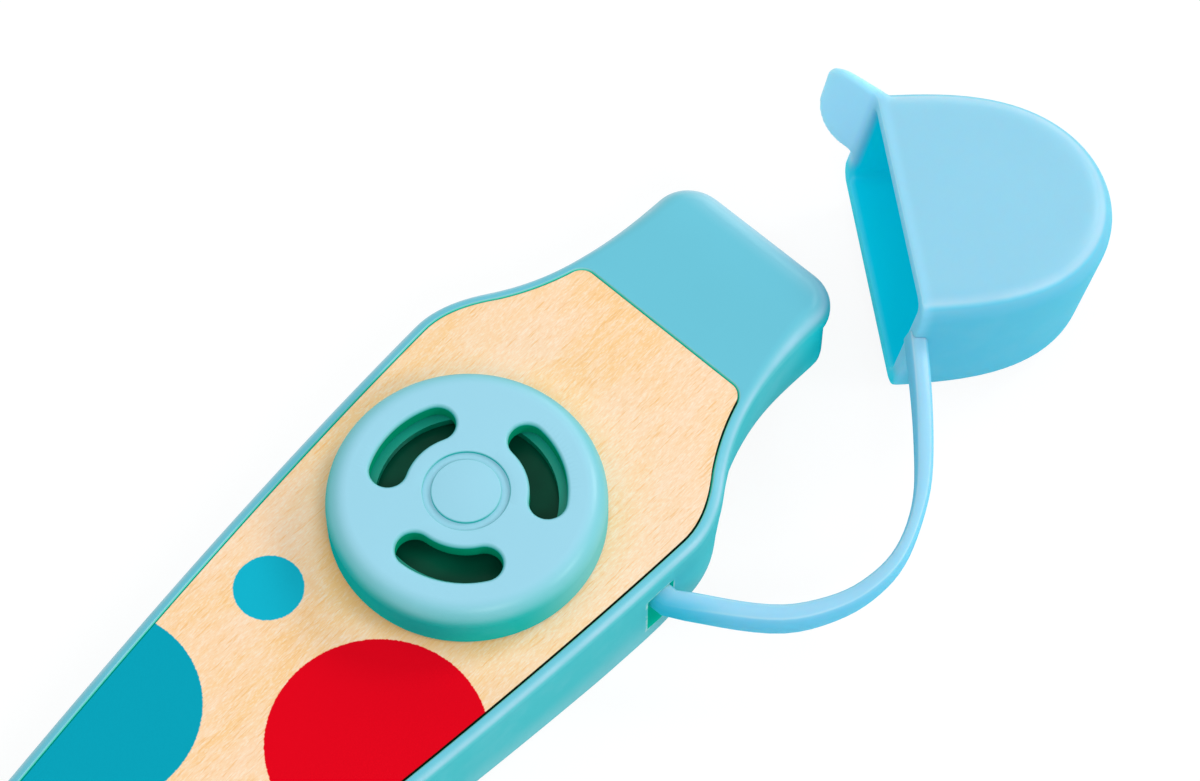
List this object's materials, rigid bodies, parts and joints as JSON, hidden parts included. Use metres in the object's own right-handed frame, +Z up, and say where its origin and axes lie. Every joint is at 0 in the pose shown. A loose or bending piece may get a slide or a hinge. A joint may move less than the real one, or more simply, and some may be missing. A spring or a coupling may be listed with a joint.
{
  "type": "toy kazoo",
  "caption": "Flat toy kazoo with a wooden top panel, a screw turret over its membrane, a flared mouthpiece and a soft mouth cap held by a strap",
  "frame": {"origin": "On the turret's axis, at the level of the flat underside that the kazoo rests on", "axes": "+X runs along the body to the mouthpiece, +Y to the side away from the strap, +Z up through the turret"},
  "size_m": [0.1538, 0.0584, 0.0212],
  "materials": {
    "body_plastic": "satin moulded",
    "cover_plastic": "satin moulded",
    "panel_wood": "clear matt lacquer over printed dots",
    "membrane_film": "thin film",
    "ring_plastic": "satin moulded",
    "turret_plastic": "satin moulded",
    "cap_silicone": "soft matt",
    "strap_silicone": "soft matt"
  },
  "bodies": {
    "body": {"body_shell": "body_plastic", "bottom_cover": "cover_plastic", "top_panel": "panel_wood", "membrane": "membrane_film", "strap_anchor": "strap_silicone"},
    "clamp": {"clamp_ring": "ring_plastic"},
    "turret": {"turret_cap": "turret_plastic"},
    "cap": {"mouth_cap": "cap_silicone", "cap_strap": "strap_silicone"}
  },
  "joints": [
    {"name": "turret_lift", "type": "slide", "parent": "body", "child": "clamp", "axis": [0, 0, 1], "range_m": [0, 0.0018]},
    {"name": "turret_turn", "type": "hinge", "parent": "clamp", "child": "turret", "pos_m": [0, 0, 0.019], "axis": [0, 0, 1], "range_deg": [0, 270]},
    {"name": "cap_swing", "type": "hinge", "parent": "body", "child": "cap", "pos_m": [0.0084, -0.02024, 0.0082], "axis": [0, 0, 1], "range_deg": [-45, 8], "deforming": ["cap_strap"]}
  ],
  "couplings": [
    {"joint": "turret_lift", "follows": "turret_turn", "m_per_rad": 0.00038197}
  ]
}
